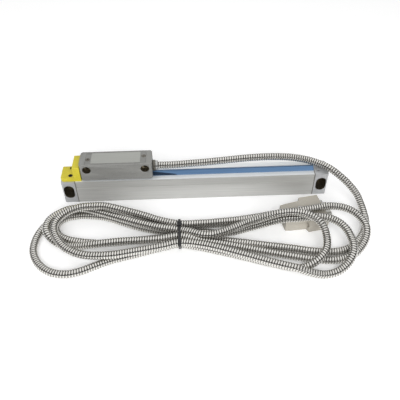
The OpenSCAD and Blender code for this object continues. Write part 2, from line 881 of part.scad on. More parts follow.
// Plan of the left loop: two round lobes that run into the waist, and its openings
module left_loop() {
    difference() {
        hull() {
            disc(-108, -57, 36.5);
            disc(-112, -68, 34.5);
            translate([tie_x - 2, waist_front]) square([2, waist_back - waist_front]);
        }
        hull() {
            disc(-108, -49.5, 10.5);
            disc(-60, -56, 5.5);
            disc(-44, -59, 1.5);
        }
        hull() {
            disc(-129, -78, 6.5);
            disc(-114, -89.5, 5);
        }
    }
}

module right_loop() {
    difference() {
        hull() {
            disc(127, -73, 31.5);
            disc(103, -86, 30);
            translate([tie_x, waist_front]) square([2, waist_back - waist_front]);
        }
        hull() {
            disc(92, -76, 14);
            disc(60, -66, 6);
            disc(26, -64, 0.8);
        }
    }
}

// The right loop's rear arm passes over the connector's hood
module over_hood() {
    back_x = hood_place[0] - (hood_length + ferrule_out) * cos(hood_turn) - ferrule_d / 2 * sin(hood_turn);
    translate([back_x, -62]) square([hood_length + 14, 45]);
}

// Space round the waist that the tie fills
module tie_passage() {
    width = tie_width + 2 * slide_gap;
    waist = waist_back - waist_front;
    difference() {
        translate([tie_x - width / 2, waist_front - waist / 2, -1])
            cube([width, 2 * waist, 2 * hank_height]);
        translate([tie_x - width, waist_front, tie_band])
            cube([2 * width, waist, hank_height - tie_band]);
    }
}

module cable_hank() {
    color(steel) {
        difference() {
            union() {
                linear_extrude(hank_height) left_loop();
                linear_extrude(hank_height) difference() {
                    right_loop();
                    over_hood();
                }
            }
            tie_passage();
        }
        translate([0, 0, hood_height + 0.2]) linear_extrude(conduit_d) intersection() {
            right_loop();
            translate([-3, 0]) over_hood();
        }
    }
}

module cable_tie() {
    color(rubber_black) {
        difference() {
            translate([tie_x - tie_width / 2, waist_front - tie_band, 0])
                cube([tie_width, waist_back - waist_front + 2 * tie_band, hank_height + tie_band]);
            translate([tie_x - tie_width, waist_front, tie_band])
                cube([2 * tie_width, waist_back - waist_front, hank_height - tie_band]);
        }
        translate([tie_x - tie_width / 2, waist_back - tie_lock / 2, hank_height + tie_band])
            cube([tie_width + tie_band, tie_lock, tie_width]);
    }
}

// ---- Connector, drawn with its mating face at x = 0 ----

module at_hood() {
    translate(hood_place) rotate([0, 0, hood_turn]) children();
}

// Plan of the hood: wide ears at the mating end, then a body that narrows to the cable
module hood_plan() {
    half = hood_width / 2;
    polygon([[0, -half], [0, half], [-ear_length, half], [-ear_length - 1, waist_half],
        [-hood_length + 5, tail_half + 1], [-hood_length, tail_half], [-hood_length, -tail_half],
        [-hood_length + 5, -tail_half - 1], [-ear_length - 1, -waist_half], [-ear_length, -half]]);
}

// Inside of the hood: a chamber for the wires between the two screw ears
module hood_chamber() {
    half = jack_spacing / 2 - jack_head_d / 2 - hood_wall;
    polygon([[-hood_wall, -half], [-hood_wall, half], [-ear_length, half],
        [-hood_length + ferrule_in + 1, tail_half - hood_wall],
        [-hood_length + ferrule_in + 1, -tail_half + hood_wall], [-ear_length, -half]]);
}

module hood_cuts() {
    bar_x(-hood_length - 1, ferrule_in + 3, 0, hood_mid_z, ferrule_d);
    for (s = [-1, 1]) {
        bar_x(-jack_seat - 1, jack_seat + 2, s * jack_spacing / 2, hood_mid_z, jack_d + 2 * seat_gap);
        bar_x(-hood_length / 2 - jack_seat, hood_length / 2, s * jack_spacing / 2, hood_mid_z,
            jack_head_d + 2 * seat_gap);
    }
    translate([-flange_inset - flange_sheet, -hood_width / 2 - 1, hood_mid_z - flange_height / 2 - slide_gap])
        cube([flange_sheet, hood_width + 2, flange_height + 2 * slide_gap]);
    translate([-hood_wall - 1, -shell_width / 2 - slide_gap, hood_mid_z - shell_height / 2 - slide_gap])
        cube([hood_wall + 2, shell_width + 2 * slide_gap, shell_height + 2 * slide_gap]);
    translate([hood_screw_x, hood_screw_y, hood_screw_end]) cylinder(h = hood_height, d = hood_screw_d);
    translate([hood_screw_x, hood_screw_y, hood_height - hood_screw_head_h])
        cylinder(h = hood_screw_head_h + 1, d = hood_screw_head_d + 2 * slide_gap);
}

// The walls with the post for the screw between them
module hood_walls() {
    difference() {
        linear_extrude(hood_height) hood_plan();
        translate([0, 0, hood_wall]) linear_extrude(hood_height - 2 * hood_wall) hood_chamber();
    }
    translate([hood_screw_x, hood_screw_y, hood_wall / 2])
        cylinder(h = hood_height - hood_wall, d = hood_post_d);
}

module hood_half(z0) {
    color(hood_beige) at_hood() intersection() {
        difference() {
            hood_walls();
            hood_cuts();
        }
        translate([-2 * hood_length, -hood_width, z0]) cube([3 * hood_length, 2 * hood_width, hood_mid_z]);
    }
}

module hood_lower() { hood_half(0); }
module hood_upper() { hood_half(hood_mid_z); }

module hood_screws() {
    color(steel) at_hood() translate([hood_screw_x, hood_screw_y, hood_height])
        socket_screw(hood_screw_d, hood_screw_head_d, hood_screw_head_h, hood_height - hood_screw_end);
}

// D-shaped outline in Y and Z, less an inset all round
module d_outline(inset) {
    w = shell_width / 2 - inset;
    h = shell_height / 2 - inset;
    polygon([[-w + 1, h], [w - 1, h], [w, h - 1], [w - shell_slant, -h + 1], [w - shell_slant - 1, -h],
        [-w + shell_slant + 1, -h], [-w + shell_slant, -h + 1], [-w, h - 1]]);
}

module connector_shell() {
    color([0.7, 0.7, 0.68]) at_hood() translate([0, 0, hood_mid_z]) difference() {
        union() {
            along_x(-flange_inset - flange_sheet, flange_sheet)
                square([hood_width, flange_height], center = true);
            along_x(-flange_inset, flange_inset + shell_reach) d_outline(0);
        }
        along_x(-flange_inset - 2 * flange_sheet, shell_reach + 10) d_outline(shell_wall);
        for (s = [-1, 1])
            bar_x(-2 * flange_inset, 3 * flange_inset, s * jack_spacing / 2, 0, jack_d + 2 * seat_gap);
    }
}

// Places of the nine pins in Y and Z
function pin_places() = concat([for (i = [-2 : 2]) [i * pin_pitch, pin_rows / 2]],
    [for (i = [-1.5 : 1.5]) [i * pin_pitch, -pin_rows / 2]]);

module connector_insulator() {
    color([0.15, 0.15, 0.16]) at_hood() translate([0, 0, hood_mid_z]) difference() {
        along_x(-insulator_back, insulator_back + insulator_front) d_outline(shell_wall);
        for (p = pin_places()) bar_x(-2 * insulator_back, 3 * insulator_back, p[0], p[1], 2 * pin_r);
    }
}

module connector_pins() {
    color([0.8, 0.68, 0.35]) at_hood() translate([0, 0, hood_mid_z])
        for (p = pin_places())
            bar_x(-insulator_back - 2, insulator_back + 2 + shell_reach - 0.8, p[0], p[1], 2 * pin_r);
}

// Two bundles of wires that run from the cable past the hood's post to the pins
module connector_wires() {
    r = wire_bundle_d / 2;
    back = hood_length - ferrule_in;
    front = insulator_back + 2;
    color([0.2, 0.2, 0.2]) at_hood() translate([0, 0, hood_mid_z]) for (s = [-1, 1])
        tube(spline([[-back - 1, s * r, 0], [-back + 2, s * r, 0], [hood_screw_x - 4, s * 1.1 - 2, 0],
            [hood_screw_x + 2, s * 1.3 - 2, 0], [-front - 3, s * 1.5 * pin_pitch, -r],
            [-front - free_gap, s * 1.5 * pin_pitch, -r]]), r, 8);
}

module cable_ferrule() {
    color(steel) at_hood() difference() {
        bar_x(-hood_length - ferrule_out, ferrule_out + ferrule_in, 0, hood_mid_z, ferrule_d);
        bar_x(-2 * hood_length, 2 * hood_length, 0, hood_mid_z, lead_d + 2 * slide_gap);
    }
}

module jackscrew(side) {
    color(steel) at_hood() translate([0, side * jack_spacing / 2, hood_mid_z]) difference() {
        union() {
            bar_x(-jack_seat, jack_seat + jack_reach, 0, 0, jack_d);
            bar_x(-jack_seat - jack_head_length, jack_head_length, 0, 0, jack_head_d);
        }
        translate([-jack_seat - jack_head_length - 1, -jack_head_d, -0.4]) cube([2, 2 * jack_head_d, 0.8]);
    }
}

module front_jackscrew() { jackscrew(-1); }
module rear_jackscrew() { jackscrew(1); }

housing();
glass_scale();
glass_retaining_cord();
front_seal_lip();
rear_seal_lip();
left_end_cap();
right_end_cap();
left_cap_gasket();
right_cap_gasket();
left_cap_screws();
right_cap_screws();
transport_bracket();
bracket_screws();
head_block();
cover_gasket();
head_cover();
cover_screws();
nameplate();
head_circuit_board();
board_screws();
coupling_blade();
blade_screws();
carriage_frame();
coupling_spring();
index_reticle();
sensor_board();
lamp();
lamp_lead();
flat_lead();
gland_body();
gland_nut();
signal_lead();
roller_pins();
left_face_roller();
right_face_roller();
upper_face_roller();
left_edge_roller();
right_edge_roller();
cable_run();
cable_hank();
cable_tie();
hood_lower();
hood_upper();
hood_screws();
connector_shell();
connector_insulator();
connector_pins();
connector_wires();
cable_ferrule();
front_jackscrew();
rear_jackscrew();
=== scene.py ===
# Linear glass scale with its reader head, armoured cable and nine-pin connector.
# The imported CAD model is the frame: each section below finishes one piece, or one
# group of like pieces, in the order in which the scale is put together.
import json
import math

import bmesh
import bpy
from mathutils import Matrix, Vector

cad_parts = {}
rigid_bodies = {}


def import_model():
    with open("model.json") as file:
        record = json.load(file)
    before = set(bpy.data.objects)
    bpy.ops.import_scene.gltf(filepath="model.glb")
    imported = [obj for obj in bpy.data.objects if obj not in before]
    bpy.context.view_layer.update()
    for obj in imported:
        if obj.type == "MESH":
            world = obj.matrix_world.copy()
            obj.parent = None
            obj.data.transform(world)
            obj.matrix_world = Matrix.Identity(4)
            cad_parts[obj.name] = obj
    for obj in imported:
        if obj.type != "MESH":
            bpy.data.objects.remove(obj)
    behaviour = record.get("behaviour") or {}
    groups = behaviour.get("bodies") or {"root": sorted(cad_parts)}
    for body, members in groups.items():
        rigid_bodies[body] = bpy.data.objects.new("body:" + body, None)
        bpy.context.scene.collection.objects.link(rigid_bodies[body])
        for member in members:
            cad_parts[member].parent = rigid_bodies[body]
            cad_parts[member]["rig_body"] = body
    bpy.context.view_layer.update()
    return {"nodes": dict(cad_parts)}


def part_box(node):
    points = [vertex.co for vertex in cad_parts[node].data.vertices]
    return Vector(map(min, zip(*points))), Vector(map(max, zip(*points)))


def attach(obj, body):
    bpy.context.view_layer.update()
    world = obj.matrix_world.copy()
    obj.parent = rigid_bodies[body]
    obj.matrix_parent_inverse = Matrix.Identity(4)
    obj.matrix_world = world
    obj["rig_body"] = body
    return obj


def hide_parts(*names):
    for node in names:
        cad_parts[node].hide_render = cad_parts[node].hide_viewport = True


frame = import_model()

# ---- Studio: camera, two soft lamps, a pale sky and a white floor ----
# The camera stands in front of the scale and looks down on it. The sky and the floor are white
# to the camera, and in reflections too but for the room's dark walls in front and at the sides.
camera_place = (-0.0068, -0.3588, 0.3336)
camera_yaw, camera_pitch, camera_roll = math.radians(1.75), math.radians(43.97), math.radians(-0.70)
camera = bpy.data.objects.new("camera", bpy.data.cameras.new("camera"))
bpy.context.collection.objects.link(camera)
camera.data.lens = 45
camera.data.clip_start = 0.01
camera.matrix_world = (Matrix.Translation(camera_place) @ Matrix.Rotation(-camera_yaw, 4, "Z")
                       @ Matrix.Rotation(math.pi / 2 - camera_pitch, 4, "X")
                       @ Matrix.Rotation(camera_roll, 4, "Z"))
bpy.context.scene.camera = camera
bpy.context.scene.view_settings.view_transform = "Standard"


def add(tree, kind, inputs=None, **settings):
    """A node in a tree; each input takes a value or the socket that feeds it."""
    made = tree.nodes.new(kind)
    for key, value in settings.items():
        setattr(made, key, value)
    for key, value in (inputs or {}).items():
        if isinstance(value, bpy.types.NodeSocket):
            tree.links.new(value, made.inputs[key])
        else:
            made.inputs[key].default_value = value
    return made


def maths(tree, operation, *values):
    """A Math node's result."""
    return add(tree, "ShaderNodeMath", dict(enumerate(values)), operation=operation).outputs[0]


def colour_mix(tree, share, first, second):
    """A Mix node's colour: the first at a share of 0, the second at 1."""
    return add(tree, "ShaderNodeMix", {0: share, 6: first, 7: second}, data_type="RGBA").outputs[2]


def seen_share(tree):
    """1 for rays that show a surface or sky to the eye, straight or by reflection."""
    path = add(tree, "ShaderNodeLightPath")
    seen = maths(tree, "MAXIMUM", path.outputs["Is Camera Ray"], path.outputs["Is Glossy Ray"])
    return maths(tree, "MAXIMUM", seen, path.outputs["Is Transmission Ray"])


lamp_side = 0.9
lamps_aim = Vector((0, -0.04, 0))


def soft_lamp(name, place, power):
    """A square lamp that looks at the scale and leaves no reflection."""
    lamp = bpy.data.objects.new(name, bpy.data.lights.new(name, "AREA"))
    bpy.context.collection.objects.link(lamp)
    lamp.data.size, lamp.data.energy = lamp_side, power
    lamp.visible_glossy = False
    lamp.location = place
    lamp.rotation_euler = (lamps_aim - Vector(place)).to_track_quat("-Z", "Y").to_euler()


soft_lamp("top_lamp", (-0.25, 0.35, 1.15), 1.8)
soft_lamp("front_lamp", (0.1, -1.0, 0.65), 12.6)

# The dark walls fade out between two heights, and towards the back of the room
white = (1, 1, 1, 1)
sky_light, wall_darkness = 0.54, 0.95
wall_top, wall_fade_top = 0.5, 0.64
wall_side_start, wall_side_full = -0.45, -0.05
side_weight, front_weight = 2.0, 0.9
sky = bpy.data.worlds.new("studio sky")
sky.use_nodes = True
bpy.context.scene.world = sky
sky_tree = sky.node_tree
look = add(sky_tree, "ShaderNodeSeparateXYZ",
           {0: add(sky_tree, "ShaderNodeTexCoord").outputs["Generated"]})
wall_height = add(sky_tree, "ShaderNodeMapRange",
                  {"Value": look.outputs["Z"], "From Min": wall_top, "From Max": wall_fade_top,
                   "To Min": 1.0, "To Max": 0.0})
aside = maths(sky_tree, "MULTIPLY", maths(sky_tree, "ABSOLUTE", look.outputs["X"]), side_weight)
wall_side = add(sky_tree, "ShaderNodeMapRange",
                {"Value": maths(sky_tree, "MULTIPLY_ADD", look.outputs["Y"], -front_weight, aside),
                 "From Min": wall_side_start, "From Max": wall_side_full})
reflected = add(sky_tree, "ShaderNodeLightPath").outputs["Is Glossy Ray"]
dark_wall = maths(sky_tree, "MULTIPLY", reflected,
                  maths(sky_tree, "MULTIPLY", wall_height.outputs[0], wall_side.outputs[0]))
seen_sky = maths(sky_tree, "MULTIPLY_ADD", dark_wall, -wall_darkness, 1.0)
sky_strength = add(sky_tree, "ShaderNodeMapRange",
                   {"Value": seen_share(sky_tree), "To Min": sky_light, "To Max": seen_sky})
sky_tree.links.new(sky_strength.outputs[0], sky_tree.nodes["Background"].inputs["Strength"])
sky_tree.nodes["Background"].inputs["Color"].default_value = white

# The floor throws less light up on the scale than it shows to the eye
floor_reach, floor_glow, paper_grey = 4, 0.17, (0.72, 0.72, 0.72, 1)
floor_mesh = bpy.data.meshes.new("floor")
floor_mesh.from_pydata([(x * floor_reach, y * floor_reach, 0)
                        for x, y in ((-1, -1), (1, -1), (1, 1), (-1, 1))], [], [(0, 1, 2, 3)])
studio_floor = bpy.data.objects.new("floor", floor_mesh)
bpy.context.collection.objects.link(studio_floor)
floor_paper = bpy.data.materials.new("white paper")
floor_paper.use_nodes = True
paper = floor_paper.node_tree
paper_shader = paper.nodes["Principled BSDF"].inputs
for key, value in (("Roughness", 1), ("Specular IOR Level", 0), ("Emission Color", white)):
    paper_shader[key].default_value = value
paper_seen = seen_share(paper)
paper.links.new(colour_mix(paper, paper_seen, paper_grey, white), paper_shader["Base Color"])
paper.links.new(maths(paper, "MULTIPLY", paper_seen, floor_glow), paper_shader["Emission Strength"])
floor_mesh.materials.append(floor_paper)

# ---- Housing: the aluminium extrusion that carries and shields the glass ----
# One drawn and clear-anodised section with a slot in its top. Fine die lines run along it,
# its edges are broken, and its ends are sawn off square.


def tone(r, g, b):
    """A colour as it looks on the piece, from 0 to 255, made linear."""
    return [((c / 255 + 0.055) / 1.055) ** 2.4 if c > 10 else c / 3294.6 for c in (r, g, b)] + [1]


def shader_group(name, inputs, outputs):
    """An empty shader node group with named sockets, and its two end nodes."""
    group = bpy.data.node_groups.new(name, "ShaderNodeTree")
    for side, sockets in (("INPUT", inputs), ("OUTPUT", outputs)):
        for socket, kind in sockets.items():
            group.interface.new_socket(socket, in_out=side, socket_type="NodeSocket" + kind)
    return group, add(group, "NodeGroupInput"), add(group, "NodeGroupOutput")


# Grain: noise that is drawn out by its stretch, as die lines, casting skin or moulded texture
noise_low, noise_high, relief_strength = 0.3, 0.7, 0.6
grain_group, grain_in, grain_out = shader_group(
    "grain", {"Colour": "Color", "Low colour": "Color", "Size": "Float", "Stretch": "Vector",
              "Detail": "Float"},
    {"Colour": "Color", "Height": "Float"})
place_on_piece = add(grain_group, "ShaderNodeTexCoord")
drawn_out = add(grain_group, "ShaderNodeVectorMath",
                {0: place_on_piece.outputs["Object"], 1: grain_in.outputs["Stretch"]},
                operation="MULTIPLY")
grain_noise = add(grain_group, "ShaderNodeTexNoise",
                  {"Vector": drawn_out.outputs[0], "Detail": grain_in.outputs["Detail"],
                   "Scale": maths(grain_group, "DIVIDE", 1.0, grain_in.outputs["Size"])})
grain_level = add(grain_group, "ShaderNodeMapRange",
                  {"Value": grain_noise.outputs[0], "From Min": noise_low, "From Max": noise_high})
grain_colour = colour_mix(grain_group, grain_level.outputs[0], grain_in.outputs["Low colour"],
                          grain_in.outputs["Colour"])
grain_group.links.new(grain_colour, grain_out.inputs["Colour"])
grain_group.links.new(grain_level.outputs[0], grain_out.inputs["Height"])

# Handling: broad, faint patches where hands and cloths have changed the gloss
handling_group, handling_in, handling_out = shader_group(
    "handling", {"Roughness": "Float", "Spread": "Float", "Size": "Float"}, {"Roughness": "Float"})
patch = add(handling_group, "ShaderNodeTexNoise",
            {"Vector": add(handling_group, "ShaderNodeTexCoord").outputs["Object"], "Detail": 3.0,
             "Scale": maths(handling_group, "DIVIDE", 1.0, handling_in.outputs["Size"])})
patch_level = maths(handling_group, "SUBTRACT", patch.outputs[0], 0.5)
handling_group.links.new(
    maths(handling_group, "MULTIPLY_ADD", patch_level, handling_in.outputs["Spread"],
          handling_in.outputs["Roughness"]), handling_out.inputs["Roughness"])


def finish(name, colour, low, size=0.0006, stretch=(1, 1, 1), metallic=0.0, roughness=0.5, spread=0.25,
           patch_size=0.012, bump=0.0, detail=2.0, **shader):
    """A surface with grain and handling marks on a Principled shader."""
    made = bpy.data.materials.new(name)
    made.use_nodes = True
    tree = made.node_tree
    body = tree.nodes["Principled BSDF"]
    grain = add(tree, "ShaderNodeGroup", node_tree=grain_group)
    handling = add(tree, "ShaderNodeGroup", node_tree=handling_group)
    for socket, value in (("Colour", colour), ("Low colour", low), ("Size", size), ("Stretch", stretch),
                          ("Detail", detail)):
        grain.inputs[socket].default_value = value
    for socket, value in (("Roughness", roughness), ("Spread", spread), ("Size", patch_size)):
        handling.inputs[socket].default_value = value
    tree.links.new(grain.outputs["Colour"], body.inputs["Base Color"])
    tree.links.new(handling.outputs["Roughness"], body.inputs["Roughness"])
    body.inputs["Metallic"].default_value = metallic
    for key, value in shader.items():
        body.inputs[key.replace("_", " ")].default_value = value
    if bump:
        relief = add(tree, "ShaderNodeBump", {"Height": grain.outputs["Height"],
                                              "Strength": relief_strength, "Distance": bump})
        tree.links.new(relief.outputs[0], body.inputs["Normal"])
    return made


def dress(material, *nodes):
    """Gives CAD pieces their finish."""
    for name in nodes:
        for holder in frame["nodes"][name].material_slots:
            holder.material = material


def to_mesh(piece):
    """The piece as it stands after its modifiers, as a plain mesh with none left."""
    settled = bpy.data.meshes.new_from_object(
        piece.evaluated_get(bpy.context.evaluated_depsgraph_get()))
    piece.modifiers.clear()
    piece.data = settled
    return piece


def new_piece(name, mesh, material=None):
    """An object at the origin that holds the mesh."""
    made = bpy.data.objects.new(name, mesh)
    bpy.context.collection.objects.link(made)
    if material:
        mesh.materials.clear()
        mesh.materials.append(material)
    return made


# Nearly flat joints are dissolved, and an edge is broken or sharp from these angles on
welded_within, flat_below = 2e-6, math.radians(1)
sharp_from, broken_from = math.radians(38), math.radians(40)


def broken_edges(name, node, material, width, steps=2):
    """A copy of a CAD piece with its sharp edges broken, which stands for the piece."""
    mesh = frame["nodes"][node].data.copy()
    work = bmesh.new()
    work.from_mesh(mesh)
    bmesh.ops.remove_doubles(work, verts=work.verts, dist=welded_within)
    bmesh.ops.dissolve_limit(work, angle_limit=flat_below, verts=work.verts, edges=work.edges)
    work.to_mesh(mesh)
    work.free()
    mesh.shade_smooth()
    made = new_piece(name, mesh, material)
    edge = made.modifiers.new("broken edge", "BEVEL")
    edge.width, edge.segments = width, steps
    edge.limit_method, edge.angle_limit = "ANGLE", broken_from
    edge.harden_normals = True
    to_mesh(made)
    made.data.set_sharp_from_angle(angle=sharp_from)
    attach(made, frame["nodes"][node]["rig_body"])
    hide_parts(node)
    return made


def second_finish(made, material, boxes):
    """Gives the faces inside each box between two corners, such as a bore's, a second material."""
    made.data.materials.append(material)
    for face in made.data.polygons:
        if any(all(low[k] < face.center[k] < high[k] for k in range(3)) for low, high in boxes):
            face.material_index = 1


anodised = finish("clear anodised extrusion", tone(201, 201, 198), tone(188, 188, 185),
                  size=0.0009, stretch=(0.012, 1, 1), metallic=0.55, roughness=0.42, spread=0.12,
                  patch_size=0.05, bump=0.00002)
# The top faces take a lighter copy of the finish: a painted highlight where the top lamp's light falls
# on them.
top_flat_painted_light = finish("top flat with painted highlight", tone(243, 245, 246), tone(234, 237, 239), size=0.0009,
                     stretch=(0.012, 1, 1), metallic=0.45, roughness=0.5, spread=0.12, patch_size=0.05,
                     bump=0.00002)
extrusion = broken_edges("housing_extrusion", "housing", anodised, 0.00025)
top_z, top_play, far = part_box("housing")[1].z, 0.0002, 1
second_finish(extrusion, top_flat_painted_light, [((-far, -far, top_z - top_play), (far, far, top_z + top_play))])

# ---- Glass scale and its cord: the ruler that the head reads ----
# A strip of float glass stands in the floor's ribs, wedged by a rubber cord. Its front face
# carries a fine grating with a mark at each millimetre and longer ones for reference.
glass = finish("graduated glass", tone(214, 232, 226), tone(208, 228, 222), size=0.02, roughness=0.05,
               spread=0.02, Transmission_Weight=0.85, IOR=1.52)
dress(glass, "glass_scale")
cord_rubber = finish("cord rubber", tone(44, 44, 45), tone(34, 34, 35), roughness=0.7)
dress(cord_rubber, "glass_retaining_cord")
chrome_marks = finish("chrome marks", tone(70, 72, 74), tone(58, 60, 62), metallic=0.9, roughness=0.25)
glass_low, glass_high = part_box("glass_scale")


def geometry_tree(name, inputs):
    """A Geometry Nodes tree with named inputs, and its input node."""
    tree = bpy.data.node_groups.new(name, "GeometryNodeTree")
    for socket, kind in inputs.items():
        tree.interface.new_socket(socket, in_out="INPUT", socket_type="NodeSocket" + kind)
    tree.interface.new_socket("Geometry", in_out="OUTPUT", socket_type="NodeSocketGeometry")
    return tree, add(tree, "NodeGroupInput")


def give_out(tree, geometry, material):
    """Ends a Geometry Nodes tree: one real mesh in the given material."""
    real = add(tree, "GeometryNodeRealizeInstances", {"Geometry": geometry})
    coated = add(tree, "GeometryNodeSetMaterial", {"Geometry": real.outputs[0], "Material": material})
    add(tree, "NodeGroupOutput", {0: coated.outputs[0]})


def from_tree(name, tree, values, data=None):
    """Runs a Geometry Nodes tree with the given inputs and keeps its result as a plain mesh."""
    raw = new_piece(name, data or bpy.data.meshes.new(name))
    run = raw.modifiers.new("made by", "NODES")
    run.node_group = tree
    for socket in tree.interface.items_tree:
        if socket.in_out == "INPUT" and socket.name in values:
            run[socket.identifier] = values[socket.name]
    settled = bpy.data.meshes.new_from_object(raw.evaluated_get(bpy.context.evaluated_depsgraph_get()))
    bpy.data.objects.remove(raw)
    return new_piece(name, settled)


mark_pitch, mark_width, mark_height, mark_foot = 0.001, 0.0005, 0.005, 0.0088
reference_count, reference_pitch, reference_width = 5, 0.05, 0.0012
reference_height, reference_foot = 0.0018, 0.0128
film, film_stand = 0.00003, 0.00002
mark_tree, mark_in = geometry_tree("graduation marks", {
    "Marks": "Int", "Pitch": "Float", "Width": "Float", "Height": "Float", "Start": "Vector",
    "Material": "Material"})
mark_step = add(mark_tree, "ShaderNodeCombineXYZ", {"X": mark_in.outputs["Pitch"]})
mark_line = add(mark_tree, "GeometryNodeMeshLine",
                {"Count": mark_in.outputs["Marks"], "Start Location": mark_in.outputs["Start"],
                 "Offset": mark_step.outputs[0]})
mark_size = add(mark_tree, "ShaderNodeCombineXYZ",
                {"X": mark_in.outputs["Width"], "Y": film, "Z": mark_in.outputs["Height"]})
mark_bar = add(mark_tree, "GeometryNodeMeshCube", {"Size": mark_size.outputs[0]})
mark_row = add(mark_tree, "GeometryNodeInstanceOnPoints",
               {"Points": mark_line.outputs[0], "Instance": mark_bar.outputs[0]})
give_out(mark_tree, mark_row.outputs[0], mark_in.outputs["Material"])
bare_ends = 0.01
mark_count = int((glass_high.x - glass_low.x - bare_ends) / mark_pitch)
grating = from_tree("glass_graduation", mark_tree, {
    "Marks": mark_count, "Pitch": mark_pitch, "Width": mark_width, "Height": mark_height,
    "Start": (-mark_count * mark_pitch / 2, glass_low.y - film_stand, mark_foot),
    "Material": chrome_marks})
references = from_tree("glass_reference_marks", mark_tree, {
    "Marks": reference_count, "Pitch": reference_pitch, "Width": reference_width,
    "Height": reference_height,
    "Start": (-(reference_count - 1) * reference_pitch / 2, glass_low.y - film_stand, reference_foot),
    "Material": chrome_marks})
for marks in (grating, references):
    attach(marks, "scale")

# ---- Seal lips: two blue strips that close the slot in the housing's top ----
# Each is extruded in soft polyurethane, pressed into a groove in its flange, and leans on the
# other along the middle, so the head's blade can part them as it passes.
seal_blue = finish("seal lip blue", tone(88, 119, 153), tone(76, 107, 142), size=0.0008,
                   stretch=(0.02, 1, 1), roughness=0.5, spread=0.2, patch_size=0.03, bump=0.00002)
dress(seal_blue, "front_seal_lip", "rear_seal_lip")

# Beside the head a thin sheet lies just over the front lip's slope, from its front edge upwards: a dark
# wedge of painted shadow, and above it a bright rim of painted highlight.
lip_painted_shadow = finish("seal lip painted shadow", tone(24, 44, 66), tone(16, 32, 50), size=0.0006,
                   roughness=0.6)
lip_painted_highlight = finish("seal lip painted highlight", tone(158, 186, 216), tone(140, 170, 204), size=0.0006, roughness=0.4)
lip_front_y, lip_front_z, lip_slope = -0.0042, 0.0252, 0.597
wedge_steps, wedge_length, wedge_depth, wedge_tip = 12, 0.022, 0.0027, 0.0001
front_lift, shade_lift, rim_lift, back_lift = 0.00006, 0.00008, 0.0003, 0.00005
rim_width, rim_back, under_head = 0.00045, 0.00055, 0.0002
wedge_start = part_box("head_block")[1].x - under_head
wedge = bmesh.new()
wedge_rows = []
for step in range(wedge_steps + 1):
    share = step / wedge_steps
    edge_y = lip_front_y + wedge_tip + wedge_depth * (1 - share)
    profile = ((lip_front_y, front_lift), (edge_y, shade_lift), (edge_y, rim_lift),
               (edge_y + rim_width, rim_lift), (edge_y + rim_back, back_lift))
    wedge_rows.append([wedge.verts.new((wedge_start + wedge_length * share, y,
                                        lip_front_z + lift + lip_slope * (y - lip_front_y)))
                       for y, lift in profile])
for here, there in zip(wedge_rows, wedge_rows[1:]):
    for k in range(4):
        wedge.faces.new((here[k], there[k], there[k + 1], here[k + 1])).material_index = int(k > 0)
bmesh.ops.recalc_face_normals(wedge, faces=wedge.faces)
wedge_mesh = bpy.data.meshes.new("painted_lip_shadow_and_highlight")
wedge.to_mesh(wedge_mesh)
wedge.free()
painted_lip_marks = new_piece("painted_lip_shadow_and_highlight", wedge_mesh, lip_painted_shadow)
wedge_mesh.materials.append(lip_painted_highlight)
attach(painted_lip_marks, "reader_head")

# ---- End caps: cast blocks that close the housing and carry its mounting holes ----
# Die-cast zinc with a faint grainy skin. A screw in each of two ports pulls a cap against its
# rubber gasket, and the recess in its front takes the head of the mounting screw.
cast_skin = finish("cast cap skin", tone(194, 195, 196), tone(176, 177, 179), size=0.0005,
                   metallic=0.45, roughness=0.5, spread=0.2, bump=0.00004, detail=4.0)
# Recesses and bores take a darker, browner metal: painted shade in their hollows, on a glossy metal.
bore_painted_shade = finish("bore metal with painted shade", tone(150, 141, 122), tone(104, 95, 80), size=0.0005, metallic=0.9,
                     roughness=0.3)
recess_x, recess_half, recess_reach, recess_low, recess_high = 0.119, 0.0049, 0.0096, 0.005, 0.021
for side, x in (("left", -recess_x), ("right", recess_x)):
    cap = broken_edges(side + "_cap_casting", side + "_end_cap", cast_skin, 0.0003)
    second_finish(cap, bore_painted_shade, [((x - recess_half, -recess_reach, recess_low),
                                      (x + recess_half, recess_reach, recess_high))])
gasket_rubber = finish("cap gasket rubber", tone(116, 114, 109), tone(102, 100, 95), roughness=0.7)
dress(gasket_rubber, "left_cap_gasket", "right_cap_gasket")
bright_steel = finish("bright screw steel", tone(200, 200, 198), tone(176, 176, 174), size=0.0004,
                      metallic=0.95, roughness=0.28, spread=0.15)
dress(bright_steel, "left_cap_screws", "right_cap_screws")

# ---- Transport bracket: holds the head at its place until the scale is mounted ----
# Bright yellow moulded plastic with a slightly matt skin, held to the left cap by two small
# black screws in its plate. It is taken off before the scale is used.
bracket_yellow = finish("bracket yellow", tone(208, 196, 60), tone(194, 180, 46), size=0.0007,
                        roughness=0.48, spread=0.2, bump=0.00003)
broken_edges("yellow_bracket", "transport_bracket", bracket_yellow, 0.0004)
black_steel = finish("blackened steel", tone(48, 47, 45), tone(34, 33, 32), size=0.0004, metallic=0.7,
                     roughness=0.4)
dress(black_steel, "bracket_screws")

# ---- Head casing: the reader head's body ----
# A milled and painted aluminium block with round corners, two counterbored mounting holes
# through it and a shallow bed for the cover on its top.
head_paint = finish("head casing grey", tone(148, 148, 145), tone(136, 136, 133), size=0.0006,
                    metallic=0.35, roughness=0.45, spread=0.2, bump=0.00003)
casing = broken_edges("head_casing", "head_block", head_paint, 0.0003)
head_low, head_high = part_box("head_block")
bore_spacing, bore_half, bore_low, bore_high, face_margin = 0.053, 0.0041, 0.0346, 0.0428, 0.0004
head_middle = (head_low.x + head_high.x) / 2
# The bores' walls take the darker metal with painted shade
second_finish(casing, bore_painted_shade,
              [((x - bore_half, head_low.y + face_margin, bore_low),
                (x + bore_half, head_high.y - face_margin, bore_high))
               for x in (head_middle - bore_spacing / 2, head_middle + bore_spacing / 2)])

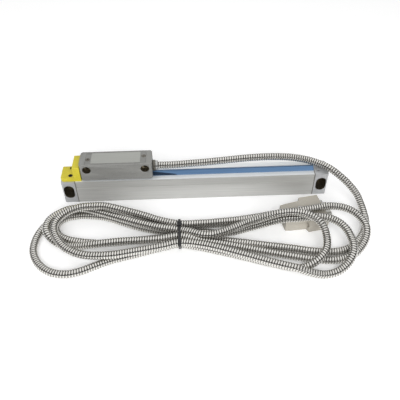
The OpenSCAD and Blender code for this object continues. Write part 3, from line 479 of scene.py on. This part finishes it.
# ---- Head cover and its plate: closes the electronics ----
# A thin pressed cover lies on a rubber gasket, with a countersunk screw at two corners. A bare
# plate of brushed foil is stuck on its middle.
cover_metal = finish("cover metal", tone(144, 144, 141), tone(132, 132, 129), size=0.0007,
                     stretch=(0.05, 1, 1), metallic=0.5, roughness=0.42, spread=0.15)
broken_edges("pressed_cover", "head_cover", cover_metal, 0.0002)
plate_foil = finish("bare plate foil", tone(168, 169, 164), tone(162, 163, 158), size=0.0008,
                    stretch=(0.02, 1, 1), metallic=0.4, roughness=0.4, spread=0.1)
broken_edges("bare_plate", "nameplate", plate_foil, 0.0001, steps=1)
dress(cord_rubber, "cover_gasket")
# A darker steel: painted shade around the cover's screws, and a painted dark reflection on the gland's
# collar.
steel_with_painted_shade = finish("steel with painted shade", tone(134, 131, 124), tone(92, 88, 80), size=0.0009, metallic=0.85,
                    roughness=0.3, spread=0.2)
dress(steel_with_painted_shade, "cover_screws")

# ---- Electronics in the head: circuit board, its screws and the leads ----
# A green glass-fibre board stands on two posts in the pocket. A header under it takes the flat
# lead from the scanner, and a round lead goes out through the gland.
board_green = finish("circuit board green", tone(42, 112, 76), tone(28, 88, 58), size=0.0011,
                     roughness=0.35, spread=0.1, Coat_Weight=0.4)
dress(board_green, "head_circuit_board", "sensor_board")
dress(bright_steel, "board_screws", "blade_screws", "roller_pins")
flex_amber = finish("flat lead amber", tone(196, 132, 58), tone(176, 112, 44), size=0.0006,
                    stretch=(1, 1, 0.1), roughness=0.35, spread=0.1)
dress(flex_amber, "lamp_lead", "flat_lead")
lead_jacket = finish("lead jacket", tone(60, 60, 62), tone(48, 48, 50), roughness=0.55)
dress(lead_jacket, "signal_lead", "connector_wires")

# ---- Scanning carriage: runs on the glass inside the housing ----
# A dark cast frame rolls on five small ball bearings, holds the lamp behind the glass and the
# index reticle and sensor board before it, and is drawn along by the thin steel blade.
frame_grey = finish("carriage casting", tone(104, 106, 109), tone(88, 90, 93), size=0.0005,
                    metallic=0.5, roughness=0.5, bump=0.00003)
dress(frame_grey, "carriage_frame")
dress(bright_steel, "coupling_blade", "coupling_spring")
roller_steel = finish("bearing steel", tone(210, 210, 208), tone(196, 196, 194), size=0.0005,
                      metallic=1.0, roughness=0.18, spread=0.08)
dress(roller_steel, "left_face_roller", "right_face_roller", "upper_face_roller",
      "left_edge_roller", "right_edge_roller")
dress(glass, "index_reticle")
lamp_resin = finish("lamp resin", tone(232, 220, 200), tone(222, 208, 186), roughness=0.15, spread=0.05,
                    Transmission_Weight=0.5)
dress(lamp_resin, "lamp")

# ---- Gland: where the armoured conduit enters the head ----
# A turned steel body screws into the casing's end, and its nut grips the conduit's end.
# The collar takes the darker steel, a painted dark reflection.
broken_edges("gland_collar", "gland_body", steel_with_painted_shade, 0.0003)
broken_edges("gland_cap_nut", "gland_nut", bright_steel, 0.0003)

# ---- Armoured conduit: the cable's steel jacket, from the gland to the connector ----
# Wound from a profiled stainless strip whose turns interlock as ridges. Its free run goes from
# the gland over the right cap to the ground, and the rest lies in a tied hank.
conduit_r, ridge_pitch, groove_depth = 0.0036, 0.0022, 0.00065
rings_per_turn, ring_points, steps_between = 6, 12, 10

# The route's points are in millimetres
free_run = [(-34.5, 0, 34.3), (-20, 0, 34.3), (-6, 0.5, 34.8), (12, 1, 35.6), (32, 2, 36.6),
            (52, 3, 37.4), (72, 4, 37), (90, 5, 34.8), (106, 4.5, 31.4), (117, 0.5, 29.6),
            (126, -6.5, 29), (134, -13, 25.6), (142, -19.5, 20.4), (149, -26.5, 13.6),
            (152.4, -34.5, 7.6), (153.4, -44, 4.2), (152.9, -50, 3.6), (151.6, -55, 3.6)]
tie_x = -16
# Each strand's place in the tie, as y and z: four come from the loops' front, four from their back
tie_places = {"front low": (-64.6, 4.3), "front high": (-68.25, 10.6), "front last": (-75.55, 10.6),
              "front under": (-71.9, 4.3), "back high": (-53.65, 10.6), "back low": (-57.3, 4.3),
              "back near": (-60.95, 10.6), "back last": (-50, 4.3)}
# Half turns of the hank in order: the points of each, and the place in the tie where it ends
half_turns = [
    ([(147.6, -64, 3.6), (141, -73, 3.6), (131, -82, 3.6), (118, -86, 3.6), (100, -85, 3.6),
      (80, -80.5, 3.6), (60, -76.5, 3.6), (38, -72, 3.6), (15, -68, 3.9)], "front low"),
    ([(-34, -64, 3.7), (-51, -65.3, 3.6), (-68, -66.7, 3.6), (-84, -67.4, 3.6), (-97, -66, 3.6),
      (-108, -63.8, 3.6), (-116.5, -61, 3.6), (-122.8, -56.6, 3.6), (-126.3, -50.8, 3.6),
      (-127.2, -44.8, 3.6), (-125.2, -39.5, 3.6), (-120.8, -35.6, 3.6), (-114.5, -33.5, 3.6),
      (-102, -32.6, 3.6), (-83, -36, 3.6), (-64, -44.5, 3.6), (-50, -50.5, 3.6), (-34, -55, 3.8)],
     "back low"),
    ([(4, -58.5, 3.8), (18, -60, 3.6), (32, -59, 3.6), (44, -56.5, 4.6), (55, -55.5, 7.2),
      (66, -56.6, 12.4), (77, -58, 17), (87, -58.4, 17.8), (100, -57.6, 17.9), (113, -58.4, 17.4),
      (123, -62, 15), (129, -69, 12.8), (131.4, -78, 11), (131, -87.8, 11), (127.6, -96.5, 9),
      (121.8, -103, 6), (113, -108, 4.1), (102, -110, 3.7), (90, -109.5, 7), (80, -107.5, 10.2),
      (70, -104.5, 10.9), (60, -100.7, 10.8), (38, -91.5, 10.6), (15, -82.5, 10.8), (0, -78, 10.8)],
     "front last"),
    ([(-29, -78.6, 10.6), (-43, -81.6, 10.7), (-60, -84.8, 10.8), (-72, -86.8, 10.9),
      (-85, -87.2, 10.8), (-96, -86, 10.8), (-105, -82.8, 10.9), (-113.5, -77.4, 11.3),
      (-119.5, -70.8, 12), (-124, -63, 12.3), (-126.2, -55.5, 12.2), (-125.6, -49.2, 12.8),
      (-122.4, -43.6, 13.8), (-117, -39.4, 15.2), (-110.5, -36.8, 16.6), (-103, -35.5, 17.8),
      (-94, -35, 18), (-83, -35.5, 18), (-72, -38, 16.8), (-63, -39.5, 14.8), (-54, -41, 12.6),
      (-44, -44.2, 11.2), (-33, -48.7, 10.6)], "back high"),
    ([(4, -53.8, 10.6), (20, -52.8, 10.6), (34, -51.5, 10.6), (44, -50.5, 11), (54, -50, 12.2),
      (64, -49.9, 14.2), (75, -50, 16.4), (86, -49.8, 17.6), (97, -48.5, 17.8), (107, -46.8, 17.8),
      (119, -44.6, 17.6), (131, -45.6, 16.2), (140, -49.4, 14), (146, -56.2, 11.7), (148.2, -65, 10.2),
      (146, -74, 7), (140, -82.6, 4.5), (130, -91, 3.6), (116, -95, 3.6), (100, -94, 3.6),
      (80, -89.5, 3.6), (60, -84, 3.6), (38, -78.6, 4.8), (15, -74, 7.4), (0, -71.3, 9)], "front high"),
    ([(-33, -70.6, 10.6), (-51, -71.5, 10.6), (-67, -72, 10.6), (-80, -73, 10.4), (-94, -73.2, 8.8),
      (-106, -71.4, 5.6), (-116, -69.5, 4), (-124, -66.6, 6.4), (-129.5, -62.4, 9.4),
      (-133, -56.5, 10.9), (-133.6, -49.7, 11), (-131.6, -43, 11), (-127, -37.5, 11), (-121, -33, 11),
      (-114, -30.5, 10.9), (-102, -31, 10.8), (-89, -35.5, 10.8), (-72, -42.5, 10.6),
      (-54, -50, 10.6), (-35, -56.8, 10.6)], "back near"),
    ([(-6, -65.3, 12.2), (3, -69.7, 13.4), (11, -70.5, 13.5), (19, -68.3, 13.4), (31, -63, 12.9),
      (41.5, -58.2, 13.2), (51, -57.2, 16.2), (60, -57, 19.8), (71, -57.2, 23.4), (82, -57.6, 24.9),
      (92, -59.6, 24.9), (100, -63, 23.6), (105.2, -67, 21.4), (108.5, -71.5, 17.5), (109.7, -77, 13.6),
      (109.2, -83, 11.4), (107, -89.3, 11), (103, -94.8, 10.2), (98, -99, 8.6), (91.8, -101.6, 6.4),
      (84, -102.8, 4.2), (74, -100.6, 3.6), (60, -96, 3.6), (38, -88, 3.6), (15, -80, 3.6),
      (0, -75.5, 3.9)], "front under"),
    ([(-29, -74, 3.7), (-42, -77.5, 3.6), (-55, -81.3, 3.6), (-65, -84, 3.6), (-76, -87.2, 3.6),
      (-87, -92, 3.6), (-98, -97, 3.6), (-108, -99.7, 3.6), (-117, -99.3, 3.6), (-126, -96, 3.6),
      (-134, -89.5, 3.6), (-139.5, -81.5, 3.6), (-142.5, -73.5, 3.6), (-143.2, -65.5, 3.6),
      (-142.4, -57, 3.6), (-140, -49.3, 3.6), (-136, -41.5, 3.6), (-130, -33.6, 3.6),
      (-122, -27.6, 3.6), (-111, -24.6, 3.6), (-98, -25.5, 3.6), (-82, -29.5, 3.6), (-66, -36, 3.6),
      (-50, -42.8, 3.6), (-34, -47.6, 3.8)], "back last"),
]
into_connector = [(0, -50.2, 3.9), (15, -49.2, 3.6), (32, -48.3, 3.6), (46, -48.6, 3.6), (56, -49, 4.4),
                  (65, -49.4, 6), (74.1, -48.1, 7)]


def smooth_line(points, steps):
    """Points on the smooth curve through the given ones, in metres."""
    ends = [points[0]] + points + [points[-1]]
    line = []
    for a, b, c, d in zip(ends, ends[1:], ends[2:], ends[3:]):
        for step in range(steps):
            t = step / steps
            line.append(0.5 * (2 * b + (c - a) * t + (2 * a - 5 * b + 4 * c - d) * t * t
                               + (3 * b - a - 3 * c + d) * t ** 3))
    return line + [points[-1]]


route = list(free_run)
for points, place in half_turns:
    route += points + [(tie_x, *tie_places[place])]
route = smooth_line([Vector(p) / 1000 for p in route + into_connector], steps_between)

conduit_tree, conduit_in = geometry_tree("wound conduit", {
    "Geometry": "Geometry", "Radius": "Float", "Ridge pitch": "Float", "Groove depth": "Float",
    "Material": "Material"})
ring_step = maths(conduit_tree, "DIVIDE", conduit_in.outputs["Ridge pitch"], rings_per_turn)
rings = add(conduit_tree, "GeometryNodeResampleCurve",
            {"Curve": conduit_in.outputs["Geometry"], "Length": ring_step}, mode="LENGTH")
along = add(conduit_tree, "GeometryNodeCaptureAttribute", {"Geometry": rings.outputs[0]})
along.capture_items.new("FLOAT", "Along")
conduit_tree.links.new(add(conduit_tree, "GeometryNodeSplineParameter").outputs["Length"],
                       along.inputs[1])
section = add(conduit_tree, "GeometryNodeCurvePrimitiveCircle",
              {"Resolution": ring_points, "Radius": conduit_in.outputs["Radius"]})
around = add(conduit_tree, "GeometryNodeCaptureAttribute", {"Geometry": section.outputs[0]})
around.capture_items.new("FLOAT", "Around")
conduit_tree.links.new(add(conduit_tree, "GeometryNodeSplineParameter").outputs["Factor"],
                       around.inputs[1])
jacket = add(conduit_tree, "GeometryNodeCurveToMesh",
             {"Curve": along.outputs[0], "Profile Curve": around.outputs[0], "Fill Caps": True})
turns_done = maths(conduit_tree, "DIVIDE", along.outputs[1], conduit_in.outputs["Ridge pitch"])
phase = maths(conduit_tree, "FRACT", maths(conduit_tree, "ADD", turns_done, around.outputs[1]))
from_crest = maths(conduit_tree, "ABSOLUTE", maths(conduit_tree, "MULTIPLY_ADD", phase, 2.0, -1.0))
hollow = maths(conduit_tree, "POWER", from_crest, 2.0)
sink = maths(conduit_tree, "MULTIPLY", hollow,
             maths(conduit_tree, "MULTIPLY", conduit_in.outputs["Groove depth"], -1.0))
inward = add(conduit_tree, "ShaderNodeVectorMath",
             {0: add(conduit_tree, "GeometryNodeInputNormal").outputs[0], "Scale": sink},
             operation="SCALE")
ridged = add(conduit_tree, "GeometryNodeSetPosition",
             {"Geometry": jacket.outputs[0], "Offset": inward.outputs[0]})
grooved = add(conduit_tree, "GeometryNodeStoreNamedAttribute",
              {"Geometry": ridged.outputs[0], "Name": "groove", "Value": hollow}, data_type="FLOAT")
smoothed = add(conduit_tree, "GeometryNodeSetShadeSmooth", {0: grooved.outputs[0]})
give_out(conduit_tree, smoothed.outputs[0], conduit_in.outputs["Material"])

strip_steel = finish("wound strip steel", tone(238, 237, 233), tone(218, 216, 211), size=0.0006,
                     metallic=0.94, roughness=0.17, spread=0.1)
# Shade and old oil darken the strip in its grooves
groove_tone, groove_clean, groove_dark = tone(104, 100, 93), 0.1, 0.7
strip_tree = strip_steel.node_tree
strip_colour = strip_tree.nodes["Principled BSDF"].inputs["Base Color"]
groove = add(strip_tree, "ShaderNodeAttribute", attribute_name="groove")
groove_share = add(strip_tree, "ShaderNodeMapRange",
                   {"Value": groove.outputs["Fac"], "From Min": groove_clean, "From Max": groove_dark})
strip_tree.links.new(colour_mix(strip_tree, groove_share.outputs[0],
                                strip_colour.links[0].from_socket, groove_tone), strip_colour)

route_curve = bpy.data.curves.new("route", "CURVE")
route_curve.dimensions = "3D"
route_line = route_curve.splines.new("POLY")
route_line.points.add(len(route) - 1)
route_line.points.foreach_set("co", [c for p in route for c in (*p, 1)])
conduit = from_tree("armoured_conduit", conduit_tree, {
    "Radius": conduit_r, "Ridge pitch": ridge_pitch, "Groove depth": groove_depth,
    "Material": strip_steel}, route_curve)
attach(conduit, "reader_head")
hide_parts("cable_run", "cable_hank")

# ---- Tie: holds the hank at its waist ----
# A black nylon strap goes once round the eight strands and back through its ratchet head,
# with a short tail cut off above it.
tie_black = finish("tie nylon", tone(40, 40, 41), tone(30, 30, 31), size=0.0006, roughness=0.45,
                   spread=0.2, bump=0.00002)
tie_width, tie_band, tie_play, tie_steps = 0.0021, 0.0007, 0.00002, 48
tie_middle = tie_x / 1000
strand_places = [Vector(place) / 1000 for place in tie_places.values()]
strap = bmesh.new()
rims = []
for step in range(tie_steps):
    turn = step * math.tau / tie_steps
    outward = Vector((math.cos(turn), math.sin(turn)))
    strand = max(strand_places, key=outward.dot)
    inner, outer = (strand + (conduit_r + rise) * outward for rise in (tie_play, tie_band))
    rims.append([strap.verts.new((tie_middle + side * tie_width / 2, place.x, max(place.y, 0)))
                 for side, place in ((-1, inner), (-1, outer), (1, outer), (1, inner))])
for here, there in zip(rims, rims[1:] + rims[:1]):
    for k in range(4):
        strap.faces.new((here[k], here[(k + 1) % 4], there[(k + 1) % 4], there[k]))


def block(work, low, high):
    """Adds a closed box between two corners."""
    made = bmesh.ops.create_cube(work, size=1)["verts"]
    middle, size = (Vector(low) + Vector(high)) / 2, Vector(high) - Vector(low)
    for v in made:
        v.co = Vector(v.co[k] * size[k] + middle[k] for k in range(3))


tie_top = max(place.y for place in strand_places) + conduit_r
lock_width, lock_front, lock_back, lock_foot, lock_top = 0.004, -0.0600, -0.0556, 0.0002, 0.0022
tail_width, tail_front, tail_back, tail_foot, tail_top = 0.0024, -0.0580, -0.0572, 0.0020, 0.0027
for width, front, back, foot, top in ((lock_width, lock_front, lock_back, lock_foot, lock_top),
                                      (tail_width, tail_front, tail_back, tail_foot, tail_top)):
    block(strap, (tie_middle - width / 2, front, tie_top + foot),
          (tie_middle + width / 2, back, tie_top + top))
bmesh.ops.recalc_face_normals(strap, faces=strap.faces)
strap_mesh = bpy.data.meshes.new("hank_tie")
strap.to_mesh(strap_mesh)
strap.free()
tie = new_piece("hank_tie", strap_mesh, tie_black)
rounding = tie.modifiers.new("moulded edge", "BEVEL")
rounding.width, rounding.segments, rounding.angle_limit = 0.00012, 2, broken_from
to_mesh(tie)
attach(tie, "reader_head")
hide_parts("cable_tie")

# ---- Connector: the nine-pin plug at the cable's end ----
# Two moulded halves in warm grey, screwed together, clamp the ferrule on the conduit's end and
# hold the pressed steel shell, whose pins are crimped on the cable's wires.
hood_grey = finish("hood warm grey", tone(188, 183, 172), tone(174, 168, 157), size=0.0006,
                   roughness=0.5, spread=0.2, bump=0.00004, detail=3.0)
hood_low = broken_edges("hood_lower_half", "hood_lower", hood_grey, 0.0005)
hood_high = broken_edges("hood_upper_half", "hood_upper", hood_grey, 0.0005)
dress(bright_steel, "hood_screws", "front_jackscrew", "rear_jackscrew")
broken_edges("conduit_ferrule", "cable_ferrule", bright_steel, 0.0004)
shell_tin = finish("tinned shell", tone(204, 203, 198), tone(188, 187, 182), size=0.0006, metallic=0.9,
                   roughness=0.3)
dress(shell_tin, "connector_shell")
insulator_black = finish("insulator black", tone(46, 46, 48), tone(36, 36, 38), roughness=0.5)
dress(insulator_black, "connector_insulator")
gold = finish("gold plating", tone(222, 186, 98), tone(206, 168, 80), size=0.0004, metallic=1.0,
              roughness=0.25)
dress(gold, "connector_pins")
